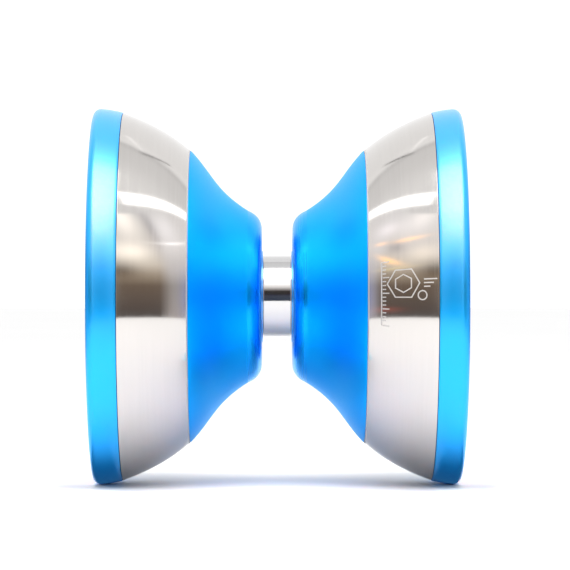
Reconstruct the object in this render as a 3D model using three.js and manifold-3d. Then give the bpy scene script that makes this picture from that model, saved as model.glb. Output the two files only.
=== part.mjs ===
// A ball-bearing yo-yo. Two wide, winged halves screw on to a short axle, either side of a
// 1/4 x 1/2 x 3/16 inch ball bearing with a centre track, which the string loops round.
// Each half is an aluminium body, a turned steel ring round its shoulder and an aluminium rim.
//
// The frame: the spin axis is X and the centre of the bearing is the origin, with +Z up.
// Outlines are pairs [x, r] in millimetres: x outwards from the centre plane, r from the axis.

import * as THREE from "three";
import { mergeVertices } from "three/addons/utils/BufferGeometryUtils.js";
import Module from "manifold-3d";

const wasm = await Module();
wasm.setup();

// ---- Driving dimensions ----

const RIM_RADIUS = 28.5;
const HALF_WIDTH = 27.8;
const STRING_GAP = 4.35; // between the two lips at the bearing

const BEARING_BORE_RADIUS = 3.175;
const BEARING_OUTER_RADIUS = 6.35;
const BEARING_HALF_WIDTH = 2.38;
const BALL_RADIUS = 0.794;
const BALL_COUNT = 8;
const PITCH_RADIUS = (BEARING_BORE_RADIUS + BEARING_OUTER_RADIUS) / 2;

const AXLE_RADIUS = 1.95; // M4 set screw, drawn without its thread
const AXLE_HALF_LENGTH = 6;
const HEX_ACROSS_FLATS = 2;
const HEX_DEPTH = 1.6;

const RING_START = 13.25; // where the steel ring meets the body, and the ring's outline there
const RING_START_RADIUS = 22.33;
const RING_END = 23.3; // where the rim meets the steel ring
const RING_END_RADIUS = 27.9;
const JOINT_GAP = 0.05; // between the faces of two pieces that are pressed together

const RUNNING = 0.05; // between a ball and its raceways
const SEGMENTS = 32; // flats round every turned shape; with a multiple of four, it stands on one

// ---- Finishes ----

const anodised = new THREE.MeshStandardMaterial({ color: 0x1496f5, roughness: 0.38, metalness: 0.9 });
const steel = new THREE.MeshStandardMaterial({ color: 0xc9c6c2, roughness: 0.22, metalness: 1 });
const bearingSteel = new THREE.MeshStandardMaterial({ color: 0xd4d5d8, roughness: 0.15, metalness: 1 });
const blackSteel = new THREE.MeshStandardMaterial({ color: 0x2a2b2d, roughness: 0.45, metalness: 0.9 });
const cageSteel = new THREE.MeshStandardMaterial({ color: 0xb3ad9c, roughness: 0.35, metalness: 1 });
const silicone = new THREE.MeshStandardMaterial({ color: 0xe9edef, roughness: 0.7, metalness: 0 });

// ---- Helpers ----

const QUARTER = Math.PI / 2;

// Turns an outline of [x, r] pairs round the X axis. The flats of the turned shape, not its
// corners, touch the true circle, so that the yo-yo stands on a flat. The outline closes on
// itself, or starts and ends on the axis.
function turned(outline) {
  const grow = 1 / Math.cos(Math.PI / SEGMENTS);
  const points = outline.map(([x, r]) => new THREE.Vector2(r * grow, x));
  const onAxis = points[0].x === 0;
  if (!onAxis) points.push(points[0].clone());
  if (THREE.ShapeUtils.area(points) < 0) points.reverse();
  const geometry = new THREE.LatheGeometry(points, SEGMENTS, Math.PI / SEGMENTS);
  return geometry.rotateZ(-QUARTER);
}

const pairs = (curve, steps) => curve.getPoints(steps).map((p) => [p.x, p.y]);
const vector = ([x, r]) => new THREE.Vector2(x, r);
const quadratic = (a, b, c, steps) =>
  pairs(new THREE.QuadraticBezierCurve(vector(a), vector(b), vector(c)), steps);
const cubic = (a, b, c, d, steps) =>
  pairs(new THREE.CubicBezierCurve(vector(a), vector(b), vector(c), vector(d)), steps);

// A stretch of an outline moved inwards, towards the axis and the open cup, by a wall thickness.
function inset(line, wall) {
  return line.slice(1, -1).map(([x, r], i) => {
    const [x0, r0] = line[i];
    const [x1, r1] = line[i + 2];
    const length = Math.hypot(x1 - x0, r1 - r0);
    return [x + (wall * (r1 - r0)) / length, r - (wall * (x1 - x0)) / length];
  });
}

// A whole outline from its half, which starts and may end on the centre plane, for a ring that is
// symmetrical about that plane.
function bothSides(half) {
  const mirrored = half.filter(([x]) => x > 0).map(([x, r]) => [-x, r]);
  return [...half, ...mirrored.reverse()];
}

function solid(geometry) {
  const bare = geometry.clone();
  bare.deleteAttribute("normal");
  bare.deleteAttribute("uv");
  const merged = mergeVertices(bare, 1e-4);
  return new wasm.Manifold(
    new wasm.Mesh({
      numProp: 3,
      vertProperties: new Float32Array(merged.attributes.position.array),
      triVerts: new Uint32Array(merged.index.array),
    }),
  );
}

function geometryOf(manifold) {
  const mesh = manifold.getMesh();
  const geometry = new THREE.BufferGeometry();
  geometry.setAttribute("position", new THREE.BufferAttribute(mesh.vertProperties, 3));
  geometry.setIndex(new THREE.BufferAttribute(mesh.triVerts, 1));
  geometry.computeVertexNormals();
  return geometry;
}

const root = new THREE.Group();

function add(name, geometry, material, side = 1) {
  const mesh = new THREE.Mesh(geometry, material);
  mesh.name = name;
  if (side < 0) mesh.rotation.z = Math.PI; // the left-hand half is the right-hand one turned round
  root.add(mesh);
  return mesh;
}

// ---- The halves ----

const lip = STRING_GAP / 2;
const POST_RADIUS = 3.12; // the bearing's seat
const POST_END = 0.15; // the two posts almost meet inside the bearing
const SHOULDER = BEARING_HALF_WIDTH + 0.04; // what the inner race is clamped against
const RECESS_RADIUS = 6.48; // round the outer race
const PAD_INNER = 6.93;
const PAD_OUTER = 9.27;
const PAD_FLOOR = 3.2;
const PAD_MOUTH = 2.3;
const NOSE_END = [4.45, 13.1];
const SPIGOT_RADIUS = 21.15; // the body's register inside the steel ring
const SPIGOT_END = 15.4;
const CUP_FLOOR = 5.4;
const BOSS_RADIUS = 4.3;
const BOSS_END = 9.2;
const BODY_WALL = 1.2;

// The aluminium body: bearing post, recess, response groove, rounded nose, catch slope, the
// spigot that carries the steel ring, and the cup with its boss on the outside.
function bodyOutline() {
  const nose = quadratic([2.32, 10.2], [2.32, 12.2], NOSE_END, 4);
  const slope = cubic(NOSE_END, [9.45, 16.25], [9.7, 18.6], [RING_START, RING_START_RADIUS], 6);
  const holeEnd = AXLE_HALF_LENGTH + 0.5;
  const hole = AXLE_RADIUS + 0.1;
  return [
    [holeEnd, 0],
    [holeEnd, hole],
    [POST_END + 0.2, hole],
    [POST_END, hole + 0.2],
    [POST_END, POST_RADIUS - 0.2],
    [POST_END + 0.2, POST_RADIUS],
    [SHOULDER, POST_RADIUS],
    [SHOULDER, 4.3],
    [SHOULDER + 0.35, 4.45],
    [SHOULDER + 0.35, RECESS_RADIUS],
    [lip, RECESS_RADIUS + 0.05],
    [lip, PAD_INNER - 0.08],
    [PAD_FLOOR, PAD_INNER],
    [PAD_FLOOR, PAD_OUTER],
    [PAD_MOUTH, PAD_OUTER + 0.08],
    ...nose,
    ...slope.slice(1),
    [RING_START, SPIGOT_RADIUS],
    [SPIGOT_END, SPIGOT_RADIUS],
    [SPIGOT_END, SPIGOT_RADIUS - 1],
    ...inset(slope, BODY_WALL).slice(0, -1).reverse(),
    [CUP_FLOOR + 0.3, 11.2],
    [CUP_FLOOR, 10.2],
    [CUP_FLOOR, BOSS_RADIUS + 0.8],
    [CUP_FLOOR + 0.8, BOSS_RADIUS],
    [BOSS_END - 0.7, BOSS_RADIUS],
    [BOSS_END, BOSS_RADIUS - 0.9],
    [BOSS_END, 0],
  ];
}

const RIM_SPIGOT_RADIUS = 26.2; // the rim's register inside the steel ring
const RIM_SPIGOT_START = 21.6;
const STEEL_WALL = 0.85;

// The steel ring: a curved shell with a cylindrical register at each end.
function steelRingOutline() {
  const outside = quadratic(
    [RING_START + JOINT_GAP, RING_START_RADIUS],
    [17.17, 25.75],
    [RING_END, RING_END_RADIUS],
    6,
  );
  const inside = inset(outside, STEEL_WALL).slice(1, -1).reverse();
  return [
    ...outside,
    [RING_END, RIM_SPIGOT_RADIUS + JOINT_GAP],
    [RIM_SPIGOT_START - JOINT_GAP, RIM_SPIGOT_RADIUS + JOINT_GAP],
    [RIM_SPIGOT_START - JOINT_GAP, RIM_SPIGOT_RADIUS - 0.5],
    ...inside,
    [SPIGOT_END + JOINT_GAP, SPIGOT_RADIUS + 0.9],
    [SPIGOT_END + JOINT_GAP, SPIGOT_RADIUS + JOINT_GAP],
    [RING_START + JOINT_GAP, SPIGOT_RADIUS + JOINT_GAP],
  ];
}

const CORNER = 1.1; // the rim's rounded outer corner
const RIM_BORE = 25.2;

// The outer rim: a full-radius corner, a flat face to rest on, and a spigot into the steel ring.
function rimOutline() {
  const corner = [0, 1, 2, 3].map((i) => {
    const angle = (i * QUARTER) / 3;
    return [
      HALF_WIDTH - CORNER + CORNER * Math.sin(angle),
      RIM_RADIUS - CORNER + CORNER * Math.cos(angle),
    ];
  });
  return [
    [RING_END + JOINT_GAP, RING_END_RADIUS + 0.07],
    [(RING_END + HALF_WIDTH - CORNER) / 2, RIM_RADIUS - 0.18],
    ...corner,
    [HALF_WIDTH, RIM_BORE + 0.6],
    [HALF_WIDTH - 0.6, RIM_BORE],
    [RIM_SPIGOT_START, RIM_BORE],
    [RIM_SPIGOT_START, RIM_SPIGOT_RADIUS],
    [RING_END + JOINT_GAP, RIM_SPIGOT_RADIUS],
  ];
}

// The silicone response pad, just below the mouth of its groove.
function padOutline() {
  const clearance = 0.06;
  const face = PAD_MOUTH + clearance;
  return [
    [face, PAD_INNER + clearance],
    [face, PAD_OUTER - clearance],
    [PAD_FLOOR - clearance, PAD_OUTER - clearance],
    [PAD_FLOOR - clearance, PAD_INNER + clearance],
  ];
}

for (const [name, side] of [["left", -1], ["right", 1]]) {
  add(`${name}_body`, turned(bodyOutline()), anodised, side);
  add(`${name}_steel_ring`, turned(steelRingOutline()), steel, side);
  add(`${name}_rim`, turned(rimOutline()), anodised, side);
  add(`${name}_response_pad`, turned(padOutline()), silicone, side);
}

// ---- The axle ----

// A set screw with a hexagon socket in each end.
function axleGeometry() {
  const blank = [
    [-AXLE_HALF_LENGTH, 0],
    [-AXLE_HALF_LENGTH, AXLE_RADIUS - 0.35],
    [-AXLE_HALF_LENGTH + 0.35, AXLE_RADIUS],
    [AXLE_HALF_LENGTH - 0.35, AXLE_RADIUS],
    [AXLE_HALF_LENGTH, AXLE_RADIUS - 0.35],
    [AXLE_HALF_LENGTH, 0],
  ];
  const hexRadius = HEX_ACROSS_FLATS / 2 / Math.cos(Math.PI / 6);
  let screw = solid(turned(blank));
  for (const end of [-1, 1]) {
    const socket = new THREE.CylinderGeometry(hexRadius, hexRadius, HEX_DEPTH * 2, 6)
      .rotateZ(QUARTER)
      .translate(end * AXLE_HALF_LENGTH, 0, 0);
    screw = screw.subtract(solid(socket));
  }
  return geometryOf(screw);
}

add("axle", axleGeometry(), blackSteel);

// ---- The bearing ----

const INNER_LAND = 4.2;
const OUTER_LAND = 5.27;
const GROOVE_HALF = 0.66; // half the width of a raceway groove
const SHIELD_SEAT = 5.75;
const SHIELD_SEAT_START = 1.62;
const CLIP_GROOVE = 5.95;
const TRACK_DEPTH = 0.17; // of the flat track that centres the string on the outer race
const TRACK_HALF_WIDTH = 1.35;

// Half a raceway groove, from its bottom at the centre plane up to the land. Side is +1 where the
// balls lie outside the groove's ring and -1 where they lie inside it.
function groove(land, side) {
  const deep = BALL_RADIUS + RUNNING;
  return [0, 0.6, 1].map((share) => {
    const x = GROOVE_HALF * share;
    const r = PITCH_RADIUS - side * Math.sqrt(deep * deep - x * x);
    return [x, share === 1 ? land : r];
  });
}

function innerRaceOutline() {
  return bothSides([
    ...groove(INNER_LAND, 1),
    [BEARING_HALF_WIDTH - 0.1, INNER_LAND],
    [BEARING_HALF_WIDTH, INNER_LAND - 0.1],
    [BEARING_HALF_WIDTH, BEARING_BORE_RADIUS + 0.12],
    [BEARING_HALF_WIDTH - 0.12, BEARING_BORE_RADIUS],
  ]);
}

function outerRaceOutline() {
  return bothSides([
    [0, BEARING_OUTER_RADIUS - TRACK_DEPTH],
    [TRACK_HALF_WIDTH, BEARING_OUTER_RADIUS - TRACK_DEPTH],
    [BEARING_HALF_WIDTH - 0.38, BEARING_OUTER_RADIUS],
    [BEARING_HALF_WIDTH - 0.15, BEARING_OUTER_RADIUS],
    [BEARING_HALF_WIDTH, BEARING_OUTER_RADIUS - 0.15],
    [BEARING_HALF_WIDTH, SHIELD_SEAT],
    [2.22, SHIELD_SEAT],
    [2.22, CLIP_GROOVE],
    [1.94, CLIP_GROOVE],
    [1.94, SHIELD_SEAT],
    [SHIELD_SEAT_START, SHIELD_SEAT],
    [SHIELD_SEAT_START, OUTER_LAND],
    ...groove(OUTER_LAND, -1).reverse(),
  ]);
}

function ballCentre(index) {
  const angle = (index / BALL_COUNT) * 2 * Math.PI;
  return [0, PITCH_RADIUS * Math.sin(angle), PITCH_RADIUS * Math.cos(angle)];
}

// A crown cage: a ring to the left of the balls, with a snap-in pocket for each.
function cageGeometry() {
  const ring = turned([
    [-1.2, 4.36],
    [0.42, 4.36],
    [0.42, 5.12],
    [-1.2, 5.12],
  ]);
  let cage = solid(ring);
  for (let i = 0; i < BALL_COUNT; i += 1) {
    const pocket = new THREE.SphereGeometry(BALL_RADIUS + 0.08, 12, 6).translate(...ballCentre(i));
    cage = cage.subtract(solid(pocket));
  }
  return geometryOf(cage);
}

// A flat spring clip with a gap, which holds a shield in the outer race.
function clipGeometry() {
  const gap = 0.35; // half the gap's angle, in radians
  const outside = 5.86;
  const inside = 5.45;
  const shape = new THREE.Shape();
  shape.absarc(0, 0, outside, gap, 2 * Math.PI - gap, false);
  shape.absarc(0, 0, inside, 2 * Math.PI - gap, gap, true);
  return new THREE.ExtrudeGeometry(shape, { depth: 0.2, bevelEnabled: false, curveSegments: 24 })
    .rotateY(QUARTER)
    .translate(1.98, 0, 0);
}

const shieldOutline = [
  [1.67, 4.36],
  [1.67, 5.66],
  [1.87, 5.66],
  [1.87, 4.36],
];

add("bearing_inner_race", turned(innerRaceOutline()), bearingSteel);
add("bearing_outer_race", turned(outerRaceOutline()), bearingSteel);
add("bearing_cage", cageGeometry(), cageSteel);
for (let i = 0; i < BALL_COUNT; i += 1) {
  const ball = new THREE.SphereGeometry(BALL_RADIUS, 12, 8);
  add(`bearing_ball_${i + 1}`, ball, bearingSteel).position.set(...ballCentre(i));
}
for (const [name, side] of [["left", -1], ["right", 1]]) {
  add(`${name}_bearing_shield`, turned(shieldOutline), bearingSteel, side);
  add(`${name}_shield_clip`, clipGeometry(), blackSteel, side);
}

export default root;
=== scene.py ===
"""A winged ball-bearing yo-yo, standing on its rims in a white studio.

Lengths in this script are millimetres until a mesh is made, and outlines are lists of (x, r):
x along the spin axis from the centre plane outwards, r from the axis. A third number in a point
rounds or chamfers that corner by so much.
"""
import math

import bmesh
import bpy
from mathutils import Matrix, Vector

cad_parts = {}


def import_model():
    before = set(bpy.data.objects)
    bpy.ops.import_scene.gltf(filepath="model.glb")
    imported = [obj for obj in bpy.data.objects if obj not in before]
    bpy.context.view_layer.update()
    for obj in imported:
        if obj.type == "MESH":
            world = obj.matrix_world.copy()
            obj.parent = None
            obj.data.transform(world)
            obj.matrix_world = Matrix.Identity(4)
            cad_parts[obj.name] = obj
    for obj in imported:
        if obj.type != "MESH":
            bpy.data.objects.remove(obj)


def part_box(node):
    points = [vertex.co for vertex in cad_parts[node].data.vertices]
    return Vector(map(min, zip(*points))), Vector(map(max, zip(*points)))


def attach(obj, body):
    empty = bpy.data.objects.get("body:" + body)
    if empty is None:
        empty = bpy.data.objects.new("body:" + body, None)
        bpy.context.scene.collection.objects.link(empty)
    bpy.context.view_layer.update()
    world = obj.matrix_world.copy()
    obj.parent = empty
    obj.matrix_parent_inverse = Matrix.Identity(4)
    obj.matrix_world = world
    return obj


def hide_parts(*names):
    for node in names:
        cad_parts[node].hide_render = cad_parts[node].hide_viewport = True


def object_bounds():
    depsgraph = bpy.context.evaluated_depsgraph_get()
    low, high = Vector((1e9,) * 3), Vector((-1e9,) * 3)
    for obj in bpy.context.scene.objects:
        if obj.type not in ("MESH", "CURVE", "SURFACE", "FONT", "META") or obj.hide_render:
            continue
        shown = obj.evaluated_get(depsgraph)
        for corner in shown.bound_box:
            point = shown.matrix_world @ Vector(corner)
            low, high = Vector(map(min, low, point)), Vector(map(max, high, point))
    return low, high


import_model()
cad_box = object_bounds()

MM = 0.001
SEGMENTS = 240
CREASE = math.radians(24)  # a sharper corner than this in an outline shades as an edge


# ---------------------------------------------------------------- sizes from the frame

def node_size(name):
    """(lowest x, highest x, largest radius) of a CAD node, in millimetres."""
    low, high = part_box(name)
    return low.x / MM, high.x / MM, high.z / MM


POST_END, SPIGOT_END, BODY_RADIUS = node_size("right_body")
RING_CAD_START, RING_END, RING_END_RADIUS = node_size("right_steel_ring")
RIM_SPIGOT_START, HALF_WIDTH, RIM_RADIUS = node_size("right_rim")
PAD_FACE, PAD_BACK, PAD_OUTER = node_size("right_response_pad")
AXLE_HALF_LENGTH = node_size("axle")[1]
BEARING_HALF_WIDTH, BEARING_RADIUS = node_size("bearing_outer_race")[1:]
SHIELD_IN, SHIELD_OUT, SHIELD_RADIUS = node_size("right_bearing_shield")
CLIP_IN, CLIP_OUT, CLIP_RADIUS = node_size("right_shield_clip")
CAGE_LEFT, CAGE_RIGHT, CAGE_RADIUS = node_size("bearing_cage")
BALL_RADIUS = node_size("bearing_ball_1")[1]

LAP = 0.13  # the steel ring's thin edge reaches this much further over the body than in the CAD
LAP_SLOPE = 0.9  # the body's slope there
RING_START = RING_CAD_START - LAP
RING_START_RADIUS = BODY_RADIUS - LAP * LAP_SLOPE

LIP = 2.175  # half the string gap
POST_RADIUS = 3.12
SHOULDER = BEARING_HALF_WIDTH + 0.04  # where the inner race seats
RECESS_RADIUS = 6.5
PAD_INNER = 6.99
PAD_GAP = 0.06  # round the pad in its groove
PAD_GROOVE = (PAD_INNER - PAD_GAP, PAD_OUTER + PAD_GAP)
THREAD_RADIUS = 2.0  # M4
THREAD_PITCH = 0.7
PITCH_RADIUS = 4.7625  # of the circle of balls
INNER_RACE_BORE = 3.175
INNER_LAND = 4.2
OUTER_LAND = 5.27
TRACK_DEPTH = 0.17  # the string's track round the bearing
TRACK_HALF_WIDTH = 2.02
TRACK_STEP = 0.1
SIDES = (("left", -1), ("right", 1))


# ---------------------------------------------------------------- outlines

def bezier(points, steps):
    """Points along a quadratic or cubic Bezier curve of (x, r) control points."""
    degree = len(points) - 1
    line = []
    for i in range(steps + 1):
        t = i / steps
        weights = [math.comb(degree, k) * t**k * (1 - t) ** (degree - k) for k in range(degree + 1)]
        line.append(tuple(sum(w * p[axis] for w, p in zip(weights, points)) for axis in (0, 1)))
    return line


LARGEST_CUT = 0.4  # of the shorter side beside a corner
FLAT_START = 1.2  # where the flat beside a round starts, in cuts from the corner


def softened(outline, steps=4):
    """The outline with each marked corner cut back by its third number and rounded.

    A point just past each end of a round keeps the flats beside it flat in the shading.
    """
    result = []
    count = len(outline)
    for i, point in enumerate(outline):
        if len(point) == 2:
            result.append(point)
            continue
        corner = Vector(point[:2])
        before = Vector(outline[i - 1][:2]) - corner
        after = Vector(outline[(i + 1) % count][:2]) - corner
        size = min(point[2], before.length * LARGEST_CUT, after.length * LARGEST_CUT)
        before = before.normalized() * size
        after = after.normalized() * size
        result.append(tuple(corner + before * FLAT_START))
        result.extend(bezier([corner + before, corner, corner + after], steps))
        result.append(tuple(corner + after * FLAT_START))
    return result


def inset(line, wall):
    """A stretch of an outline moved inwards by a wall thickness, without its two ends."""
    moved = []
    for (x0, r0), (x, r), (x1, r1) in zip(line, line[1:], line[2:]):
        length = math.hypot(x1 - x0, r1 - r0)
        moved.append((x + wall * (r1 - r0) / length, r - wall * (x1 - x0) / length))
    return moved


def mirrored(half):
    """A whole outline from its right-hand half."""
    return half + [(-p[0], *p[1:]) for p in reversed(half) if p[0] > 0]


# ---------------------------------------------------------------- mesh building

def new_piece(name, bm, materials, body, replaces=()):
    """Makes an object of the bmesh, finished in the given materials and riding on a CAD body."""
    bmesh.ops.recalc_face_normals(bm, faces=bm.faces)
    for face in bm.faces:
        face.smooth = True
    for edge in bm.edges:
        edge.smooth = len(edge.link_faces) == 2 and edge.calc_face_angle(0) < CREASE
    mesh = bpy.data.meshes.new(name)
    bm.to_mesh(mesh)
    bm.free()
    for material in materials:
        mesh.materials.append(material)
    piece = bpy.data.objects.new(name, mesh)
    bpy.context.scene.collection.objects.link(piece)
    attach(piece, body)
    if replaces:
        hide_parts(*replaces)
    return piece


def turn(outline, side=1, zone=None, segments=SEGMENTS, bm=None):
    """Turns an outline round the X axis. zone(x, r) gives the material number of a stretch of it."""
    bm = bm or bmesh.new()
    rings = []
    for x, r in outline:
        if r == 0:
            rings.append([bm.verts.new((side * x * MM, 0, 0))])
            continue
        ring = []
        for i in range(segments):
            angle = 2 * math.pi * i / segments
            place = (side * x, side * r * math.sin(angle), r * math.cos(angle))
            ring.append(bm.verts.new(Vector(place) * MM))
        rings.append(ring)
    closed = outline[0][1] > 0
    for i in range(len(rings) if closed else len(rings) - 1):
        a, b = rings[i], rings[(i + 1) % len(rings)]
        (x0, r0), (x1, r1) = outline[i], outline[(i + 1) % len(outline)]
        number = zone((x0 + x1) / 2, (r0 + r1) / 2) if zone else 0
        for k in range(segments):
            n = (k + 1) % segments
            if len(a) == 1:
                corners = [a[0], b[n], b[k]]
            elif len(b) == 1:
                corners = [a[k], a[n], b[0]]
            else:
                corners = [a[k], a[n], b[n], b[k]]
            bm.faces.new(corners).material_index = number
    return bm


# ---------------------------------------------------------------- materials

def new_material(name, **values):
    """A principled material with the given socket values; returns it, its nodes, links and shader."""
    material = bpy.data.materials.new(name)
    material.use_nodes = True
    tree = material.node_tree
    shader = tree.nodes["Principled BSDF"]
    for key, value in values.items():
        shader.inputs[key.replace("_", " ")].default_value = value
    return material, tree, shader


def noise(tree, scale, detail=3.0, stretch=(1, 1, 1)):
    """A noise texture in object space, of so many waves to the metre along each axis."""
    place = tree.nodes.new("ShaderNodeTexCoord")
    mapping = tree.nodes.new("ShaderNodeMapping")
    mapping.inputs["Scale"].default_value = stretch
    texture = tree.nodes.new("ShaderNodeTexNoise")
    texture.inputs["Scale"].default_value = scale
    texture.inputs["Detail"].default_value = detail
    tree.links.new(place.outputs["Object"], mapping.inputs["Vector"])
    tree.links.new(mapping.outputs["Vector"], texture.inputs["Vector"])
    return texture.outputs["Fac"]


NOISE_RANGE = (0.3, 0.7)  # where most of a noise texture's values lie


def spread(tree, factor, low, high):
    """Maps a noise texture's values on to a range."""
    node = tree.nodes.new("ShaderNodeMapRange")
    node.inputs["From Min"].default_value = NOISE_RANGE[0]
    node.inputs["From Max"].default_value = NOISE_RANGE[1]
    node.inputs["To Min"].default_value = low
    node.inputs["To Max"].default_value = high
    tree.links.new(factor, node.inputs["Value"])
    return node.outputs["Result"]


COLOUR_A = 6  # the colour sockets of a mix node, whose names its other sockets share
COLOUR_B = 7
COLOUR_RESULT = 2


def blend_colours(tree, factor, first, second):
    """Blends two colours by a texture."""
    node = tree.nodes.new("ShaderNodeMix")
    node.data_type = "RGBA"
    node.inputs[COLOUR_A].default_value = (*first, 1)
    node.inputs[COLOUR_B].default_value = (*second, 1)
    tree.links.new(factor, node.inputs["Factor"])
    return node.outputs[COLOUR_RESULT]


def bump(tree, shader, height, depth_mm, strength=1.0):
    """Relief of so many millimetres from a texture, on a shader."""
    node = tree.nodes.new("ShaderNodeBump")
    node.inputs["Strength"].default_value = strength
    node.inputs["Distance"].default_value = depth_mm * MM
    tree.links.new(height, node.inputs["Height"])
    tree.links.new(node.outputs["Normal"], shader.inputs["Normal"])


RING_LINES = (1, 0.02, 0.02)  # stretches a texture round the axis, as a lathe tool leaves it
BLAST_GRAIN = 5200  # waves to the metre
POLISH_GRAIN = 3000
DYE_CLOUDS = 90
DYE_SWING = 0.015  # how much the dye's green varies


def anodised(name, roughness, speckle, green, metallic, coat):
    """Dyed anodised aluminium: bead-blasted where it has a speckle, polished where it has none."""
    material, tree, shader = new_material(name, Metallic=metallic, Coat_Weight=coat, Coat_IOR=1.6)
    shader.inputs["Coat Roughness"].default_value = roughness * 0.5
    shader.inputs["Specular IOR Level"].default_value = 0.0
    shader.inputs["Specular Tint"].default_value = (0.8, 0.95, 1.0, 1.0)
    cloud = spread(tree, noise(tree, DYE_CLOUDS, 2), 0, 1)
    low, high = (0.0, green - DYE_SWING, 0.98), (0.0, green + DYE_SWING, 1.0)
    tree.links.new(blend_colours(tree, cloud, low, high), shader.inputs["Base Color"])
    grain = noise(tree, BLAST_GRAIN, 2) if speckle else noise(tree, POLISH_GRAIN, 2, RING_LINES)
    tree.links.new(spread(tree, grain, roughness * 0.9, roughness * 1.1), shader.inputs["Roughness"])
    bump(tree, shader, grain, 0.0025 if speckle else 0.0005, 0.35)
    return material


def turned_metal(name, colour, roughness, lines, anisotropy):
    """Bright metal with the fine rings that turning leaves."""
    material, tree, shader = new_material(name, Metallic=1.0, Anisotropic=anisotropy)
    shader.inputs["Anisotropic Rotation"].default_value = 0.25  # a quarter turn, along the lines
    tangent = tree.nodes.new("ShaderNodeTangent")
    tangent.direction_type = "RADIAL"
    tangent.axis = "X"
    tree.links.new(tangent.outputs["Tangent"], shader.inputs["Tangent"])
    rings = noise(tree, lines, 4, RING_LINES)
    darker = tuple(c * 0.93 for c in colour)
    tree.links.new(blend_colours(tree, rings, darker, colour), shader.inputs["Base Color"])
    tree.links.new(spread(tree, rings, roughness * 0.8, roughness * 1.25), shader.inputs["Roughness"])
    bump(tree, shader, rings, 0.0012, 0.4)
    return material


METAL_GRAIN = 4000


def plain_metal(name, colour, roughness):
    """Metal with a fine even grain."""
    material, tree, shader = new_material(name, Metallic=1.0)
    grain = noise(tree, METAL_GRAIN, 3)
    darker = tuple(c * 0.88 for c in colour)
    tree.links.new(blend_colours(tree, grain, darker, colour), shader.inputs["Base Color"])
    tree.links.new(spread(tree, grain, roughness * 0.85, roughness * 1.2), shader.inputs["Roughness"])
    bump(tree, shader, grain, 0.001, 0.2)
    return material


def silicone_material():
    """Pale rubber that lets a little light in."""
    material, tree, shader = new_material("silicone", Subsurface_Weight=0.25, IOR=1.41)
    shader.inputs["Subsurface Radius"].default_value = (0.0006, 0.0005, 0.0004)
    grain = noise(tree, 3500, 3)
    colour = blend_colours(tree, grain, (0.80, 0.84, 0.86), (0.88, 0.90, 0.91))
    tree.links.new(colour, shader.inputs["Base Color"])
    tree.links.new(spread(tree, grain, 0.45, 0.6), shader.inputs["Roughness"])
    bump(tree, shader, grain, 0.004, 0.3)
    return material


# name, roughness, bead-blasted, green of the dye, metallic, coat
BLUE_RIM = anodised("blue_rim", 0.37, True, 0.425, 0.95, 0.5)
BLUE_SATIN = anodised("blue_satin", 0.42, True, 0.41, 0.97, 0.03)
BLUE_POLISHED = anodised("blue_polished", 0.28, False, 0.38, 0.94, 0.08)
# name, colour, roughness, lines to the metre, anisotropy
TURNED_STEEL = turned_metal("turned_steel", (0.60, 0.575, 0.555), 0.10, 3600, 0.6)
BEARING_STEEL = turned_metal("bearing_steel", (0.585, 0.58, 0.585), 0.09, 9000, 0.3)
BALL_STEEL = plain_metal("ball_steel", (0.80, 0.81, 0.83), 0.05)
CAGE_STEEL = plain_metal("cage_steel", (0.66, 0.64, 0.58), 0.32)
BLACK_OXIDE = plain_metal("black_oxide", (0.055, 0.057, 0.062), 0.38)
ETCHED_STEEL = plain_metal("etched_steel", (0.62, 0.60, 0.58), 0.6)
SILICONE = silicone_material()


# ---------------------------------------------------------------- the halves

NOSE_START = (2.32, 10.2)
NOSE_PULL = (2.32, 12.2)
NOSE_END = (4.45, 13.1)  # where the polish beside the string gap stops
SLOPE_PULLS = ((9.45, 16.25), (9.7, 18.6))
STEEL_PULL = (17.17, 25.75)
CROWN_PULL = (25.2, 28.42)
RIM_CORNER = 1.1
BODY_WALL = 1.2
STEEL_WALL = 0.85
JOINT = 0.05  # the fine gap between two parts that are fitted together
FROSTED_WIDTH = 0.16  # of the steel ring's broken edge


def slope_line():
    """The catch slope, from the end of the nose to the steel ring."""
    return bezier([NOSE_END, *SLOPE_PULLS, (RING_START - JOINT, RING_START_RADIUS)], 36)


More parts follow.
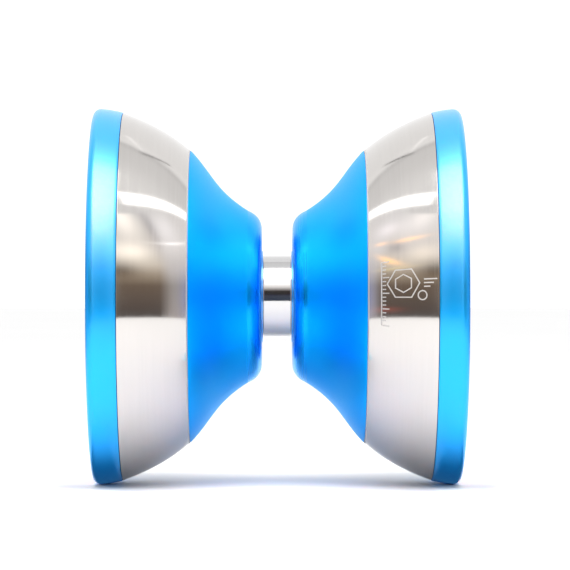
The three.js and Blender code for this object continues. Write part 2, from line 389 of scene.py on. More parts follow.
def body_outline():
    """Axle hole, post, shoulder, recess, pad groove, nose, slope, spigot, cup and boss in turn."""
    nose = bezier([NOSE_START, NOSE_PULL, NOSE_END], 16)
    groove_lip = PAD_FACE - 0.06
    groove_floor = PAD_BACK + PAD_GAP
    slope = slope_line()
    hole_end = AXLE_HALF_LENGTH + 0.5
    hole = THREAD_RADIUS + 0.05
    spigot = 21.15
    cup_floor = 5.4
    boss = 4.3
    boss_end = 9.2
    wall_end = 12.2
    cup_wall = [p for p in reversed(inset(slope, BODY_WALL)) if p[0] < wall_end]
    return softened([
        (hole_end, 0),
        (hole_end, hole),
        (POST_END + 0.3, hole),
        (POST_END, hole + 0.3, 0.05),
        (POST_END, POST_RADIUS - 0.25, 0.08),
        (POST_END + 0.3, POST_RADIUS, 0.08),
        (SHOULDER - 0.3, POST_RADIUS),
        (SHOULDER - 0.2, POST_RADIUS - 0.12),
        (SHOULDER, POST_RADIUS - 0.12),
        (SHOULDER, 4.3, 0.05),
        (SHOULDER + 0.35, 4.45, 0.1),
        (SHOULDER + 0.35, RECESS_RADIUS, 0.12),
        (LIP + 0.03, RECESS_RADIUS, 0.05),
        (LIP, RECESS_RADIUS + 0.05),
        (LIP, PAD_GROOVE[0] - 0.06, 0.04),
        (LIP + 0.05, PAD_GROOVE[0]),
        (groove_floor, PAD_GROOVE[0], 0.05),
        (groove_floor, PAD_GROOVE[1], 0.05),
        (groove_lip, PAD_GROOVE[1], 0.06),
        *nose,
        *slope[1:-1],
        (RING_START - JOINT, RING_START_RADIUS - 0.04, 0.04),
        (RING_START - 0.03, RING_START_RADIUS - 0.3),
        (RING_START, RING_START_RADIUS - 0.3),
        (RING_START, spigot),
        (SPIGOT_END - 0.2, spigot),
        (SPIGOT_END, spigot - 0.2),
        (SPIGOT_END, spigot - 1, 0.15),
        *cup_wall,
        (cup_floor + 0.3, 11.2, 0.5),
        (cup_floor, 10.2, 0.4),
        (cup_floor, boss + 0.8, 0.5),
        (cup_floor + 0.8, boss, 0.5),
        (boss_end - 0.7, boss, 0.15),
        (boss_end, boss - 0.9, 0.2),
        (boss_end, 2.2, 0.1),
        (boss_end - 0.35, 1.9, 0.1),
        (boss_end - 0.35, 0),
    ])


def body_zone(x, r):
    """Polished from the bearing to the end of the nose, blasted elsewhere."""
    return 1 if x < NOSE_END[0] and r < NOSE_END[1] else 0


def steel_line():
    """The steel ring's outside, from the body to the rim."""
    return bezier([(RING_START, RING_START_RADIUS), STEEL_PULL, (RING_END, RING_END_RADIUS)], 40)


def steel_outline():
    """The outside, the seat for the rim, the hollow shoulder and the bore on the body's spigot."""
    outside = steel_line()
    hollow_start, hollow_end = 16.6, 19.9
    inside = [p for p in reversed(inset(outside, STEEL_WALL)) if hollow_start < p[0] < hollow_end]
    register = 26.25
    bore = 21.2
    return softened([
        (RING_START, RING_START_RADIUS, 0.14),
        *outside[1:-1],
        (RING_END, RING_END_RADIUS, 0.05),
        (RING_END, register),
        (RIM_SPIGOT_START - JOINT, register),
        (RIM_SPIGOT_START - JOINT, register - 0.55, 0.2),
        *inside,
        (SPIGOT_END + JOINT, bore + STEEL_WALL, 0.2),
        (SPIGOT_END + JOINT, bore),
        (RING_START, bore),
    ])


def rim_outline():
    """The crowned outside, the rounded corner, the bore with its fine groove, and the spigot."""
    bore = 25.2
    spigot = 26.2
    start = RING_END + JOINT
    face = HALF_WIDTH
    crown_start = (start + 0.2, RING_END_RADIUS + 0.1)
    crown_end = (face - RIM_CORNER, RIM_RADIUS)
    crown = bezier([crown_start, CROWN_PULL, crown_end], 12)
    corner = bezier([
        crown_end,
        (face - RIM_CORNER * 0.45, RIM_RADIUS),
        (face, RIM_RADIUS - RIM_CORNER * 0.45),
        (face, RIM_RADIUS - RIM_CORNER),
    ], 12)
    return softened([
        (start, RING_END_RADIUS - 0.12),
        (start + 0.05, RING_END_RADIUS + 0.02),
        *crown,
        *corner[1:],
        (face, bore + 0.6, 0.1),
        (face - 0.6, bore, 0.1),
        (face - 1.7, bore),
        (face - 1.8, bore + 0.1),
        (face - 2.0, bore + 0.1),
        (face - 2.1, bore),
        (RIM_SPIGOT_START, bore, 0.12),
        (RIM_SPIGOT_START, spigot, 0.08),
        (start, spigot),
    ])


def pad_outline():
    """A flat ring, its face very slightly crowned."""
    middle = (PAD_INNER + PAD_OUTER) / 2
    return softened([
        (PAD_FACE, PAD_INNER, 0.12),
        (PAD_FACE - 0.01, middle),
        (PAD_FACE, PAD_OUTER, 0.12),
        (PAD_BACK, PAD_OUTER, 0.05),
        (PAD_BACK, PAD_INNER, 0.05),
    ])


def ring_zone(x, r):
    """The broken edge beside the body is frosted, and the rest is turned."""
    return 1 if x < RING_START + FROSTED_WIDTH and r > RING_START_RADIUS - 0.3 else 0


BLUE_PIECES = []
for side_name, side in SIDES:
    half = f"{side_name}_half"
    body = new_piece(f"{side_name}_body_turned", turn(body_outline(), side, body_zone),
                     [BLUE_SATIN, BLUE_POLISHED], half, [f"{side_name}_body"])
    new_piece(f"{side_name}_ring_turned", turn(steel_outline(), side, ring_zone),
              [TURNED_STEEL, ETCHED_STEEL], half, [f"{side_name}_steel_ring"])
    rim = new_piece(f"{side_name}_rim_turned", turn(rim_outline(), side),
                    [BLUE_RIM], half, [f"{side_name}_rim"])
    BLUE_PIECES += [body, rim]
    new_piece(f"{side_name}_pad_cast", turn(pad_outline(), side),
              [SILICONE], half, [f"{side_name}_response_pad"])


# ---------------------------------------------------------------- the mark on the right ring

MARK_CENTRE = (18.2, 1.9)  # along the axis, and round the ring from level with the camera
MARK_REACH = 25.5  # the ring's radius under the mark, which turns heights into angles
STROKE = 0.17
STROKE_TOP = 0.012  # above the metal
STROKE_FOOT = -0.03
STROKE_STEP = 0.35  # between sections of a line, so that it follows the curve


def on_ring(x, height, lift):
    """The point on the ring at x, that far round it and lifted off the metal, in millimetres."""
    for (x1, r1), (x2, r2) in zip(steel_line(), steel_line()[1:]):
        if x <= x2:
            break
    radius = r1 + (r2 - r1) * (x - x1) / (x2 - x1) + lift
    angle = height / MARK_REACH
    return Vector((x, -radius * math.cos(angle), radius * math.sin(angle))) * MM


def etch(bm, path, closed):
    """A fine frosted line along a path, as a closed strip that follows the metal."""
    fine = []
    ends = zip(path, path[1:] + path[:1]) if closed else zip(path, path[1:])
    for a, b in ends:
        steps = max(1, math.ceil(math.dist(a, b) / STROKE_STEP))
        fine.extend(tuple(Vector(a).lerp(Vector(b), k / steps)) for k in range(steps))
    if not closed:
        fine.append(path[-1])
    count = len(fine)
    sections = []
    for i, point in enumerate(fine):
        before = Vector(fine[i - 1] if closed or i else point)
        after = Vector(fine[(i + 1) % count] if closed or i + 1 < count else point)
        here = Vector(point)
        into = (here - before).normalized() if before != here else (after - here).normalized()
        out = (after - here).normalized() if after != here else into
        along = (into + out).normalized()
        side = Vector((-along.y, along.x)) * STROKE / 2 / max(0.5, along.dot(into))
        left, right = here + side, here - side
        corners = [(left, STROKE_TOP), (right, STROKE_TOP), (right, STROKE_FOOT), (left, STROKE_FOOT)]
        sections.append([bm.verts.new(on_ring(c.x, c.y, lift)) for c, lift in corners])
    pairs = zip(sections, sections[1:] + sections[:1]) if closed else zip(sections, sections[1:])
    for a, b in pairs:
        for k in range(4):
            bm.faces.new((a[k], b[k], b[(k + 1) % 4], a[(k + 1) % 4]))
    if not closed:
        bm.faces.new(sections[0])
        bm.faces.new(sections[-1][::-1])


def polygon(centre, radius, sides, turned=0.0):
    """The corners of a regular polygon, turned by so many of its sides."""
    angles = [2 * math.pi * (k + turned) / sides for k in range(sides)]
    return [(centre[0] + radius * math.cos(a), centre[1] + radius * math.sin(a)) for a in angles]


def ring_mark():
    """A plain mark in place of a maker's: two hexagons, a circle, three bars and a scale."""
    bm = bmesh.new()
    x, height = MARK_CENTRE
    etch(bm, polygon(MARK_CENTRE, 2.3, 6), True)
    etch(bm, polygon(MARK_CENTRE, 1.3, 6, 0.5), True)
    etch(bm, polygon((x + 2.7, height - 1.7), 0.62, 20), True)
    bar = x + 2.9
    for k, length in enumerate((1.9, 1.4, 0.9)):
        level = height + 0.5 - 0.5 * k
        etch(bm, [(bar, level), (bar + length, level)], False)
    scale = x - 3.1
    scale_top = height + 3.4
    etch(bm, [(scale, scale_top), (scale, height - 6.4)], False)
    ticks = 17
    for k in range(ticks):
        reach = 0.95 if k % 4 == 0 else 0.5
        level = scale_top - 0.6 * k - (0.2 if k == ticks - 1 else 0)
        etch(bm, [(scale + 0.14, level), (scale + 0.14 + reach, level)], False)
    bmesh.ops.recalc_face_normals(bm, faces=bm.faces)
    new_piece("right_ring_mark", bm, [ETCHED_STEEL], "right_half")


ring_mark()


# ---------------------------------------------------------------- the axle

THREAD_DEPTH = 0.5413 * THREAD_PITCH
CREST_SHARE = 0.25  # of the pitch is flat crest
FLANK_SHARE = 0.625  # of it is flank, and the rest is root
SOCKET_CORNER = 1 / math.cos(math.radians(30))  # of a 2 mm hexagon
SOCKET_DEPTH = 1.6
SOCKET_POINT = 0.35  # how far the drilled point goes on below the flats
AXLE_CHAMFER = 0.45


def thread_radius(share):
    """Radius of the thread at a share of its pitch: flat crest, flanks, flat root."""
    fall = min(1.0, max(0.0, (abs(share - 0.5) * 2 - CREST_SHARE) / FLANK_SHARE))
    return THREAD_RADIUS - THREAD_DEPTH * fall


def axle_mesh():
    """A threaded set screw with a hexagon socket in each end."""
    bm = bmesh.new()
    around = 48
    steps = 8 * math.ceil(2 * AXLE_HALF_LENGTH / THREAD_PITCH)
    rings = []

    def ring(x, radius_at):
        verts = []
        for k in range(around):
            angle = 2 * math.pi * k / around
            r = radius_at(angle)
            verts.append(bm.verts.new(Vector((x, r * math.sin(angle), r * math.cos(angle))) * MM))
        rings.append(verts)

    def hexagon(angle):
        sector = math.radians(60)
        return SOCKET_CORNER * math.cos(sector / 2) / math.cos((angle % sector) - sector / 2)

    def end(sign):
        bottom = sign * (AXLE_HALF_LENGTH - SOCKET_DEPTH)
        return [(bottom + sign * SOCKET_POINT, lambda a: 0.05), (bottom, hexagon),
                (sign * AXLE_HALF_LENGTH, hexagon)]

    for x, shape in end(-1):
        ring(x, shape)
    for i in range(steps + 1):
        x = -AXLE_HALF_LENGTH + 2 * AXLE_HALF_LENGTH * i / steps
        limit = THREAD_RADIUS - AXLE_CHAMFER + (AXLE_HALF_LENGTH - abs(x))
        ring(x, lambda a, x=x, limit=limit: min(
            limit, thread_radius((x / THREAD_PITCH - a / (2 * math.pi)) % 1)))
    for x, shape in reversed(end(1)):
        ring(x, shape)
    for a, b in zip(rings, rings[1:]):
        for k in range(around):
            n = (k + 1) % around
            bm.faces.new((a[k], a[n], b[n], b[k]))
    bm.faces.new(rings[0])
    bm.faces.new(rings[-1])
    return bm


new_piece("axle_threaded", axle_mesh(), [BLACK_OXIDE], "left_half", ["axle"])


# ---------------------------------------------------------------- the bearing

RACEWAY_HALF = 0.66
BALL_PLAY = 0.02
CLIP_PLAY = 0.04  # beside a clip in its groove
EDGE_PLAY = 0.09  # round the edge of a clip or a shield


def raceway(land, side, steps=8):
    """Half a raceway groove, from its bottom at the centre plane up to the land."""
    deep = BALL_RADIUS + BALL_PLAY
    points = []
    for i in range(steps + 1):
        x = RACEWAY_HALF * i / steps
        points.append((x, PITCH_RADIUS - side * math.sqrt(deep * deep - x * x)))
    return points + [(RACEWAY_HALF + 0.02, land)]


def inner_race_outline():
    """The raceway, the land and the bore, one half mirrored."""
    width = BEARING_HALF_WIDTH
    return softened(mirrored([
        *raceway(INNER_LAND, 1),
        (width, INNER_LAND, 0.1),
        (width, INNER_RACE_BORE, 0.14),
    ]))


def outer_race_outline():
    """The string's track, the edge, the grooves for clip and shield, and the raceway."""
    width = BEARING_HALF_WIDTH
    bevel = 0.15
    track = BEARING_RADIUS - TRACK_DEPTH
    mouth = SHIELD_RADIUS + EDGE_PLAY
    clip_seat = CLIP_RADIUS + EDGE_PLAY
    return softened(mirrored([
        (0, track),
        (TRACK_HALF_WIDTH, track, 0.03),
        (TRACK_HALF_WIDTH + TRACK_STEP, BEARING_RADIUS, 0.03),
        (width - bevel, BEARING_RADIUS, 0.05),
        (width, BEARING_RADIUS - bevel, 0.05),
        (width, mouth, 0.06),
        (CLIP_OUT + CLIP_PLAY, mouth),
        (CLIP_OUT + CLIP_PLAY, clip_seat),
        (CLIP_IN - CLIP_PLAY, clip_seat),
        (CLIP_IN - CLIP_PLAY, mouth),
        (SHIELD_IN - 0.05, mouth),
        (SHIELD_IN - 0.05, OUTER_LAND),
        *reversed(raceway(OUTER_LAND, -1)),
    ]))


def shield_outline():
    """A thin disc, pressed in a little between its two edges."""
    inner = 4.36
    return softened([
        (SHIELD_IN, inner, 0.04),
        (SHIELD_IN, SHIELD_RADIUS, 0.04),
        (SHIELD_OUT, SHIELD_RADIUS, 0.04),
        (SHIELD_OUT, SHIELD_RADIUS - 0.35),
        (SHIELD_OUT - 0.03, SHIELD_RADIUS - 0.42),
        (SHIELD_OUT - 0.03, inner + 0.3),
        (SHIELD_OUT, inner + 0.22),
        (SHIELD_OUT, inner, 0.04),
    ])


def ball_mesh(centre):
    """A ball, turned from a half circle and moved to its place in the cage."""
    arc = []
    steps = 24
    for i in range(steps + 1):
        angle = math.pi * i / steps
        r = BALL_RADIUS * math.sin(angle) if 0 < i < steps else 0
        arc.append((-BALL_RADIUS * math.cos(angle), r))
    bm = turn(arc, segments=48)
    bmesh.ops.translate(bm, vec=centre, verts=bm.verts)
    return bm


CLIP_WIDTH = 0.41


def clip_mesh(side):
    """A flat spring clip, open on one side, with rounded ends."""
    bm = bmesh.new()
    gap = 0.35  # half the opening, in radians
    outer, inner = CLIP_RADIUS, CLIP_RADIUS - CLIP_WIDTH
    middle, half = (outer + inner) / 2, (outer - inner) / 2
    steps = 120
    end_steps = 6
    # angle and half width of each section: round one end, along the clip, round the other end
    stations = [(gap - half / middle * math.cos(math.pi / 2 * k / end_steps),
                 half * math.sin(math.pi / 2 * k / end_steps)) for k in range(1, end_steps)]
    stations += [(gap + (2 * math.pi - 2 * gap) * i / steps, half) for i in range(steps + 1)]
    stations += [(2 * math.pi - a, h) for a, h in reversed(stations[:end_steps - 1])]
    rings = []
    for angle, width in stations:
        ring = []
        for x, r in ((CLIP_IN, middle - width), (CLIP_IN, middle + width),
                     (CLIP_OUT, middle + width), (CLIP_OUT, middle - width)):
            place = (side * x, side * r * math.cos(angle), r * math.sin(angle))
            ring.append(bm.verts.new(Vector(place) * MM))
        rings.append(ring)
    for a, b in zip(rings, rings[1:]):
        for k in range(4):
            bm.faces.new((a[k], a[(k + 1) % 4], b[(k + 1) % 4], b[k]))
    bm.faces.new(rings[0])
    bm.faces.new(rings[-1])
    return bm


def ball_centre(name):
    """The centre of a CAD ball, in metres."""
    low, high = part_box(name)
    return (low + high) / 2


CAGE_BORE = 4.36
POCKET_PLAY = 0.06
BALLS = [f"bearing_ball_{i}" for i in range(1, 9)]


def cage_piece():
    """A crown cage: a ring with a round pocket cut for each ball."""
    ring = softened([
        (CAGE_LEFT, CAGE_BORE, 0.06),
        (CAGE_RIGHT, CAGE_BORE, 0.06),
        (CAGE_RIGHT, CAGE_RADIUS, 0.06),
        (CAGE_LEFT, CAGE_RADIUS, 0.06),
    ])
    piece = new_piece("bearing_cage_crown", turn(ring, segments=128), [CAGE_STEEL], "cage",
                      ["bearing_cage"])
    cutter_bm = bmesh.new()
    pocket = (BALL_RADIUS + POCKET_PLAY) * MM
    for name in BALLS:
        spot = Matrix.Translation(ball_centre(name))
        bmesh.ops.create_icosphere(cutter_bm, subdivisions=3, radius=pocket, matrix=spot)
    cutter_mesh = bpy.data.meshes.new("cage_pockets")
    cutter_bm.to_mesh(cutter_mesh)
    cutter_bm.free()
    cutter = bpy.data.objects.new("cage_pockets", cutter_mesh)
    bpy.context.scene.collection.objects.link(cutter)
    cut = piece.modifiers.new("pockets", "BOOLEAN")
    cut.operation = "DIFFERENCE"
    cut.solver = "EXACT"
    cut.object = cutter
    evaluated = piece.evaluated_get(bpy.context.evaluated_depsgraph_get())
    mesh = bpy.data.meshes.new_from_object(evaluated)
    piece.modifiers.clear()
    piece.data = mesh
    bpy.data.objects.remove(cutter)


for i, name in enumerate(BALLS, 1):
    new_piece(f"ball_{i}_polished", ball_mesh(ball_centre(name)), [BALL_STEEL], f"ball_{i}",
              [name])
cage_piece()
new_piece("inner_race_ground", turn(inner_race_outline()), [BEARING_STEEL], "inner_race",
          ["bearing_inner_race"])
new_piece("outer_race_ground", turn(outer_race_outline()), [BEARING_STEEL], "outer_race",
          ["bearing_outer_race"])
for side_name, side in SIDES:
    new_piece(f"{side_name}_shield_pressed", turn(shield_outline(), side), [BEARING_STEEL],
              "outer_race", [f"{side_name}_bearing_shield"])
    new_piece(f"{side_name}_clip_spring", clip_mesh(side), [BLACK_OXIDE], "outer_race",
              [f"{side_name}_shield_clip"])


# ---------------------------------------------------------------- studio

FLOOR = cad_box[0].z


def staged(name, bm, material):
    """Makes a studio object of the bmesh."""
    mesh = bpy.data.meshes.new(name)
    bm.to_mesh(mesh)
    bm.free()
    mesh.materials.append(material)
    thing = bpy.data.objects.new(name, mesh)
    bpy.context.scene.collection.objects.link(thing)
    return thing


def floor():
    """A plain pale floor under the rims."""
    material, tree, shader = new_material("floor_white", Roughness=0.6)
    colour = blend_colours(tree, noise(tree, 3, 2), (0.79, 0.79, 0.79), (0.81, 0.81, 0.81))
    tree.links.new(colour, shader.inputs["Base Color"])
    bm = bmesh.new()
    spot = Matrix.Translation((0, 0, FLOOR))
    bmesh.ops.create_grid(bm, x_segments=8, y_segments=8, size=8, matrix=spot)
    staged("floor", bm, material)


def light_material(name):
    """A material that only sends out light; returns it, its nodes and its emission node."""
    material = bpy.data.materials.new(name)
    material.use_nodes = True
    tree = material.node_tree
    tree.nodes.clear()
    output = tree.nodes.new("ShaderNodeOutputMaterial")
    light = tree.nodes.new("ShaderNodeEmission")
    tree.links.new(light.outputs["Emission"], output.inputs["Surface"])
    return material, tree, light


def reflected_card(name, bm, material):
    """A studio object that only reflections see."""
    card = staged(name, bm, material)
    card.visible_camera = False
    card.visible_diffuse = False
    card.visible_shadow = False
    card.visible_transmission = False


def even_card(name, corners, strength):
    """A flat card of even light, for reflections only."""
    material, tree, light = light_material(name)
    light.inputs["Strength"].default_value = strength
    bm = bmesh.new()
    bm.faces.new([bm.verts.new(corner) for corner in corners])
    reflected_card(name, bm, material)


PAINT = "light"


def painted_card(name, grid):
    """A card for reflections only, from rows of (place in metres, colour of its light)."""
    material, tree, light = light_material(name)
    paint = tree.nodes.new("ShaderNodeVertexColor")
    paint.layer_name = PAINT
    tree.links.new(paint.outputs["Color"], light.inputs["Color"])
    bm = bmesh.new()
    layer = bm.verts.layers.float_color.new(PAINT)
    rows = []
    for line in grid:
        row = []
        for place, colour in line:
            vert = bm.verts.new(place)
            vert[layer] = (*colour, 1)
            row.append(vert)
        rows.append(row)
    for a, b in zip(rows, rows[1:]):
        for k in range(len(a) - 1):
            bm.faces.new((a[k], b[k], b[k + 1], a[k + 1]))
    reflected_card(name, bm, material)


def smooth(value):
    """A smooth rise from 0 at 0 and below to 1 at 1 and above."""
    share = min(1.0, max(0.0, value))
    return share * share * (3 - 2 * share)


ROOM_DISTANCE = 0.135
ROOM_TOP = 1.1  # heights are above the axis, as a share of the distance
TOP_DROP = (72, 32, 0.65)  # from what azimuth its top drops, over how many degrees, how far
ROOM_REACH = 130  # in degrees, to each side of the camera
ROOM_ROWS = 130
ROOM_DARKEST = 0.03
RIGHT_SIDE = 46  # the azimuths where its lighter sides begin
LEFT_SIDE = 55
SIDE_BLEND = 13
ROOM_LEVELS = [  # the room from the floor's edge up, as the middle of a steel ring reflects it
    (-0.21, (0.12, 0.105, 0.10)),
    (-0.12, (0.15, 0.12, 0.105)),
    (0.00, (0.20, 0.155, 0.125)),
    (0.11, (0.24, 0.18, 0.135)),
    (0.16, (0.40, 0.32, 0.24)),
    (0.23, (0.62, 0.52, 0.41)),
    (0.33, (1.05, 0.96, 0.83)),
    (0.48, (1.10, 1.04, 0.98)),
    (1.10, (1.08, 1.07, 1.06)),
]
SIDE_LEVELS = [  # the same towards its sides, where it is lighter
    (-0.21, (0.62, 0.57, 0.55)),
    (0.10, (0.55, 0.52, 0.50)),
    (0.25, (0.90, 0.87, 0.87)),
    (0.48, (1.20, 1.17, 1.17)),
    (1.10, (1.10, 1.09, 1.09)),
]
GLOWS = [  # azimuth and height, half widths of both, rise per degree, colour added
    # what the bearing and the rims reflect: a dark band at the axis, light above and beside it
    (0, 0.0, 7, 0.30, 0, (-0.13, -0.07, 0.0)),
    (0, 0.30, 6, 0.15, 0, (-0.75, -0.70, -0.60)),
    (0, 0.90, 8, 0.28, 0, (1.3, 1.3, 1.3)),
    (12, 0.0, 5, 0.25, 0, (0.95, 0.95, 0.95)),
    (-12, 0.0, 5, 0.25, 0, (0.95, 0.95, 0.95)),
    (12, 0.58, 6, 0.25, 0, (1.9, 1.9, 1.9)),
    (-12, 0.58, 6, 0.25, 0, (1.9, 1.9, 1.9)),
    (22, 0.29, 11, 0.09, 0, (-0.55, -0.50, -0.42)),
    (-22, 0.29, 11, 0.09, 0, (-0.55, -0.50, -0.42)),
    # what the polished noses reflect: a dark patch far round to each side, and a blue one before it
    (104, 0.06, 16, 0.15, 0, (-0.50, -0.48, -0.30)),
    (-104, 0.06, 16, 0.15, 0, (-0.50, -0.48, -0.30)),
    (74, 0.0, 8, 0.20, 0, (-0.10, 0.0, 0.45)),
    (-74, 0.0, 8, 0.20, 0, (-0.10, 0.0, 0.45)),
    # what the left-hand steel ring reflects: pale windows, a shadow and a fine bright line
    (35, 1.02, 8, 0.35, 0, (0.90, 0.84, 0.74)),
    (32, 0.48, 12, 0.11, 0, (0.80, 0.74, 0.62)),
    (52, 0.84, 4, 0.32, 0, (-0.42, -0.41, -0.38)),
    (64, 0.78, 10, 0.25, 0, (0.34, 0.34, 0.37)),
    (66, 0.553, 15, 0.010, -0.0022, (1.4, 1.4, 1.4)),
    # what the right-hand one reflects: warm lamps drawn out into streaks, and pale and dim patches
    (-48, 0.85, 22, 0.30, 0, (0.30, 0.30, 0.34)),
    (-44, 0.65, 9, 0.022, 0.0048, (1.5, 0.50, -0.2)),
    (-66, 0.55, 5, 0.018, 0.0048, (1.2, 0.40, -0.1)),
    (-55, 0.37, 10, 0.026, -0.003, (1.5, 0.60, -0.1)),
    (-50, 0.284, 13, 0.010, 0.0022, (0.6, 0.50, 0.12)),
    (-54, -0.13, 11, 0.022, 0, (0.35, 0.05, 0.03)),
    (-52, 0.53, 7, 0.07, 0, (-0.40, -0.38, -0.34)),
    (-42, 1.05, 8, 0.20, 0, (0.45, 0.42, 0.38)),
    (-66, 0.75, 9, 0.10, 0.006, (0.35, 0.32, 0.36)),
    (-32, 0.47, 9, 0.10, 0, (0.45, 0.38, 0.28)),
]


def level_colour(levels, height):
    """The colour at a height, from a list of (height, colour)."""
    for (low, first), (high, second) in zip(levels, levels[1:]):
        if height <= high:
            share = max(0.0, (height - low) / (high - low))
            return Vector(first).lerp(Vector(second), share)
    return Vector(levels[-1][1])


def room_colour(azimuth, height):
    """What the dim room sends out, at an azimuth in degrees from the camera towards +X."""
    side_start = RIGHT_SIDE if azimuth > 0 else LEFT_SIDE
    side = smooth((abs(azimuth) - side_start) / SIDE_BLEND)
    colour = level_colour(ROOM_LEVELS, height).lerp(level_colour(SIDE_LEVELS, height), side)
    for at, level, wide, tall, rise, glow in GLOWS:
        across = (azimuth - at) / wide
        up = (height - level - rise * (azimuth - at)) / tall
        colour += Vector(glow) * math.exp(-across * across - up * up)
    return [max(ROOM_DARKEST, c) for c in colour]


def room_top(azimuth):
    """The room's upper edge, which drops towards its sides to leave the strip cards clear."""
    start, width, drop = TOP_DROP
    return ROOM_TOP - drop * min(1.0, max(0.0, (abs(azimuth) - start) / width))


def dim_room():
    """The dim room beyond the edge of the floor, curved round the camera's side."""
    columns = 2 * ROOM_REACH
    bottom = FLOOR / ROOM_DISTANCE
    grid = []
    for i in range(columns + 1):
        azimuth = ROOM_REACH * (2 * i / columns - 1)
        turned = math.radians(azimuth)
        column = []
        for k in range(ROOM_ROWS + 1):
            height = bottom + (room_top(azimuth) - bottom) * k / ROOM_ROWS
            place = Vector((math.sin(turned), -math.cos(turned), height)) * ROOM_DISTANCE
            column.append((place, room_colour(azimuth, height)))
        grid.append(column)
    painted_card("room_card", grid)


SHADE_DARKEST = -10  # how far in front of the axis the full depth of the painted shade ends, and where it has faded away
SHADE_FADED = -22
SHADE_BACK = -3
SHADE_OUTER = 33  # along the axis
SHADE_ROWS = 38
SHADE_LIFT = 0.05  # above the floor
UNDER_RIM_PAINTED_SHADE = ((0.04, 0.14, 0.22), (1.0, 1.36, 1.6))  # light of the painted shade at its darkest part, and clear of it; both carry a painted blue bounce from the rim


def painted_contact_shade(name, side):
    """Painted shade and a painted blue bounce on the floor under a rim, as the front of the rim's
    lower half reflects it.
    """
    grid = []
    for k in range(SHADE_ROWS + 1):
        y = SHADE_FADED + (SHADE_BACK - SHADE_FADED) * k / SHADE_ROWS
        clear = smooth((y - SHADE_DARKEST) / (SHADE_FADED - SHADE_DARKEST))
        colour = Vector(UNDER_RIM_PAINTED_SHADE[0]).lerp(Vector(UNDER_RIM_PAINTED_SHADE[1]), clear)
        row = []
        for x in (RING_END + JOINT, SHADE_OUTER):
            row.append((Vector((side * x, y, FLOOR / MM + SHADE_LIFT)) * MM, colour))
        grid.append(row)
    painted_card(name, grid)


STRIPS = [  # name, the directions of both ends, half widths there, strength
    ("strip", (0.49, -0.33, 0.84), (0.867, 0.234, 0.483), 0.070, 0.030, 2.6),
    ("gleam", (0.25, 0.56, 0.80), (0.385, 0.405, 0.83), 0.010, 0.004, 1.7),
    ("shade", (0.38, 0.385, 0.84), (0.50, 0.49, 0.72), 0.016, 0.010, 0.45),
]
STRIP_DISTANCE = 0.8


def strip_card(name, side, high, low, high_half, low_half, strength):
    """A tapered card between two directions, as the steel reflects it."""
    high, low = Vector(high), Vector(low)
    across = (low - high).cross((high + low) / 2).normalized()
    corners = [high - across * high_half, high + across * high_half,
               low + across * low_half, low - across * low_half]
    corners = [Vector((side * c.x, c.y, c.z)) * STRIP_DISTANCE for c in corners]
    even_card(name, corners, strength)


SOFTBOX_CENTRE = Vector((0, -0.28, 0.53))
SOFTBOX_SIZE = (0.50, 0.55)
SOFTBOX_STRENGTH = 5.5
KEY_POWER = 4.6
LACQUER_POWER = 320


def softbox():
    """The big soft light overhead, a little to the camera's side, as the metal reflects it."""
    along = Vector((SOFTBOX_SIZE[0] / 2, 0, 0))
    across = SOFTBOX_CENTRE.cross(Vector((-1, 0, 0))).normalized() * SOFTBOX_SIZE[1] / 2
    corners = [SOFTBOX_CENTRE - along - across, SOFTBOX_CENTRE + along - across,
               SOFTBOX_CENTRE + along + across, SOFTBOX_CENTRE - along + across]
    even_card("softbox", corners, SOFTBOX_STRENGTH)


def overhead_light(name, power, colour=(1, 1, 1)):
    """An area light in the softbox's place."""
    data = bpy.data.lights.new(name, "AREA")
    data.shape = "RECTANGLE"
    data.size, data.size_y = SOFTBOX_SIZE
    data.energy = power
    data.color = colour
    lamp = bpy.data.objects.new(name, data)
    bpy.context.scene.collection.objects.link(lamp)
    lamp.location = SOFTBOX_CENTRE
    lamp.rotation_euler = (-SOFTBOX_CENTRE).to_track_quat("-Z", "Y").to_euler()
    lamp.visible_camera = False
    return lamp


def key_light():
    """Lights the floor and everything matt; the polished metal sees the softbox card instead."""
    overhead_light("key", KEY_POWER).visible_glossy = False


def lacquer_light():
    """Whitens the softbox's highlight on the blue lacquer, and lights nothing else."""
    lamp = overhead_light("lacquer", LACQUER_POWER, (1, 0, 0))
    blue = bpy.data.collections.new("blue_pieces")
    for piece in BLUE_PIECES:
        blue.objects.link(piece)
    lamp.light_linking.receiver_collection = blue


WORLD_LIGHT = 1.2
SKY_STOPS = [  # how far the direction points away from the camera, brightness in a reflection
    (-1.0, 1.15),
    (-0.32, 1.06),
    (-0.10, 1.20),
    (0.05, 1.13),
    (0.20, 1.04),
    (0.36, 1.00),
    (0.42, 0.88),
    (0.47, 1.28),
    (0.56, 1.20),
    (1.0, 1.15),
]


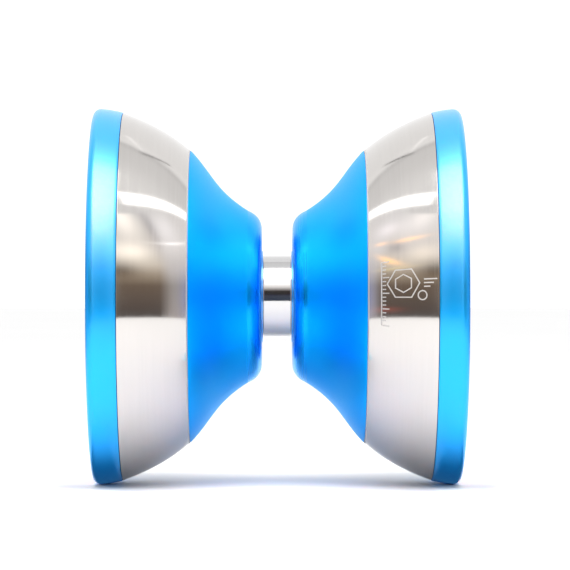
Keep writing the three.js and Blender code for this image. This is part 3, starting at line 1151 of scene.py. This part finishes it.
def world():
    """White all round; what the polished metal reflects of it has a dimmer ceiling."""
    sky = bpy.data.worlds.new("studio")
    bpy.context.scene.world = sky
    sky.use_nodes = True
    tree = sky.node_tree
    back = tree.nodes["Background"]
    back.inputs["Color"].default_value = (1.0, 1.0, 1.0, 1)
    place = tree.nodes.new("ShaderNodeTexCoord")
    split = tree.nodes.new("ShaderNodeSeparateXYZ")
    level = tree.nodes.new("ShaderNodeMapRange")
    level.inputs["From Min"].default_value = -1
    ramp = tree.nodes.new("ShaderNodeValToRGB")
    stops = ramp.color_ramp.elements
    for i, (direction, brightness) in enumerate(SKY_STOPS):
        at = (direction + 1) / 2
        stop = stops[i] if i < 2 else stops.new(at)
        stop.position = at
        grey = brightness / WORLD_LIGHT
        stop.color = (grey, grey, grey, 1)
    path = tree.nodes.new("ShaderNodeLightPath")
    mix = tree.nodes.new("ShaderNodeMix")
    mix.inputs["A"].default_value = 1
    strength = tree.nodes.new("ShaderNodeMath")
    strength.operation = "MULTIPLY"
    strength.inputs[1].default_value = WORLD_LIGHT
    tree.links.new(place.outputs["Generated"], split.inputs["Vector"])
    tree.links.new(split.outputs["Y"], level.inputs["Value"])
    tree.links.new(level.outputs["Result"], ramp.inputs["Fac"])
    tree.links.new(path.outputs["Is Glossy Ray"], mix.inputs["Factor"])
    tree.links.new(ramp.outputs["Color"], mix.inputs["B"])
    tree.links.new(mix.outputs["Result"], strength.inputs[0])
    tree.links.new(strength.outputs["Value"], back.inputs["Strength"])


LENS = 215
SENSOR = 36
CAMERA_EYE = (-0.0017, -0.518, 0)
CAMERA_AIM = (0.0012, 0, 0.00176)


def camera():
    """Level with the axis, square to it, and about half a metre away."""
    data = bpy.data.cameras.new("camera")
    data.lens = LENS
    data.sensor_width = SENSOR
    eye = bpy.data.objects.new("camera", data)
    bpy.context.scene.collection.objects.link(eye)
    eye.location = CAMERA_EYE
    eye.rotation_euler = (Vector(CAMERA_AIM) - eye.location).to_track_quat("-Z", "Y").to_euler()
    bpy.context.scene.camera = eye


floor()
dim_room()
world()
softbox()
key_light()
lacquer_light()
for side_name, side in SIDES:
    # a card of painted shade under each rim, seen only in reflections
    painted_contact_shade(f"{side_name}_shade_card", side)
    for name, *shape in STRIPS:
        strip_card(f"{side_name}_{name}", side, *shape)
camera()
bpy.context.scene.view_settings.view_transform = "Standard"
